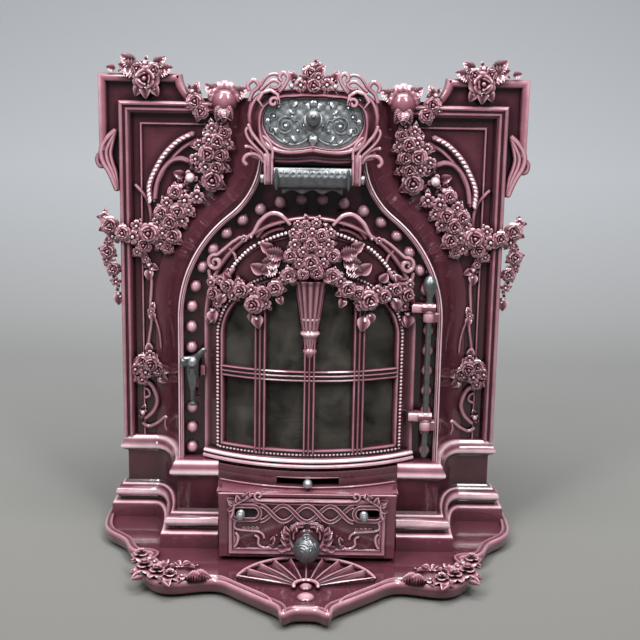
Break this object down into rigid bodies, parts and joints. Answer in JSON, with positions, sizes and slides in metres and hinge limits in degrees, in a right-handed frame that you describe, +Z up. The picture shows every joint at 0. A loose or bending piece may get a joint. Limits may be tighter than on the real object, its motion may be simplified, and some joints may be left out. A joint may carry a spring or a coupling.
{
  "type": "enamelled stove",
  "caption": "Enamelled cast-iron heating stove with a bowed mica door, tilting feed door, ash drawer with air register, shaking grate and rear flue collar.",
  "frame": {"origin": "middle of the footprint, on the floor", "axes": "+Z up, -Y out of the front, +X to the right of someone who faces the front"},
  "size_m": [0.62, 0.57, 0.689],
  "materials": {
    "enamel": "glossy translucent enamel, dark plum in the hollows and paler on the raised edges",
    "nickel": "worn nickel plate",
    "iron": "matt black",
    "brick": "rough fireclay",
    "mica": "clear, slightly smoked"
  },
  "bodies": {
    "stove": {"hearth_plate": "enamel", "sole_plate": "iron", "plinth_left": "enamel", "plinth_right": "enamel", "wing_left": "enamel", "wing_right": "enamel", "jamb_left": "enamel", "jamb_right": "enamel", "rebate_left": "enamel", "rebate_right": "enamel", "rebate_arch": "enamel", "ball_strip_left": "enamel", "ball_strip_right": "enamel", "ball_arch": "enamel", "arch_cove_left": "enamel", "arch_cove_right": "enamel", "arch_head": "enamel", "hinge_lugs": "enamel", "latch_boss": "enamel", "hopper_chute": "iron", "hopper_hinge_bar": "nickel", "hopper_hinge_pin": "nickel", "hinge_rod": "nickel", "latch_pin": "nickel", "ash_box": "enamel", "drawer_rails": "iron", "grate_carrier": "iron", "fire_basket": "iron", "brick_back": "brick", "brick_left": "brick", "brick_right": "brick", "casing_left": "iron", "casing_right": "iron", "casing_back": "iron", "casing_top": "iron", "flue_collar": "iron", "collar_bolts": "iron", "casing_bolts": "iron"},
    "fire_door": {"fire_door": "enamel", "mica_panes": "mica", "mica_frame": "iron", "mica_screws": "iron", "door_catch": "enamel"},
    "latch": {"door_latch": "nickel"},
    "feed_door": {"hopper_door": "enamel", "hopper_door_plate": "nickel", "hopper_knob": "nickel"},
    "ash_drawer": {"drawer_front": "enamel", "ash_pan": "iron", "drawer_knob": "nickel"},
    "air_register": {"air_register": "iron", "register_studs": "nickel"},
    "grate": {"grate": "iron", "grate_lever": "iron", "grate_knob": "nickel"}
  },
  "joints": [
    {"name": "fire_door_swing", "type": "hinge", "parent": "stove", "child": "fire_door", "pos_m": [0.164, -0.056, 0.28], "axis": [0, 0, 1], "range_deg": [0, 110]},
    {"name": "latch_turn", "type": "hinge", "parent": "stove", "child": "latch", "pos_m": [-0.163, -0.055, 0.284], "axis": [0, 1, 0], "range_deg": [0, 88]},
    {"name": "feed_door_tilt", "type": "hinge", "parent": "stove", "child": "feed_door", "pos_m": [0, -0.082, 0.541], "axis": [1, 0, 0], "range_deg": [0, 50]},
    {"name": "ash_drawer_slide", "type": "slide", "parent": "stove", "child": "ash_drawer", "axis": [0, -1, 0], "range_m": [0, 0.16]},
    {"name": "air_register_slide", "type": "slide", "parent": "ash_drawer", "child": "air_register", "axis": [1, 0, 0], "range_m": [0, 0.013]},
    {"name": "grate_shake", "type": "hinge", "parent": "stove", "child": "grate", "pos_m": [0, 0.077, 0.14], "axis": [0, 0, 1], "range_deg": [-11, 11]}
  ]
}
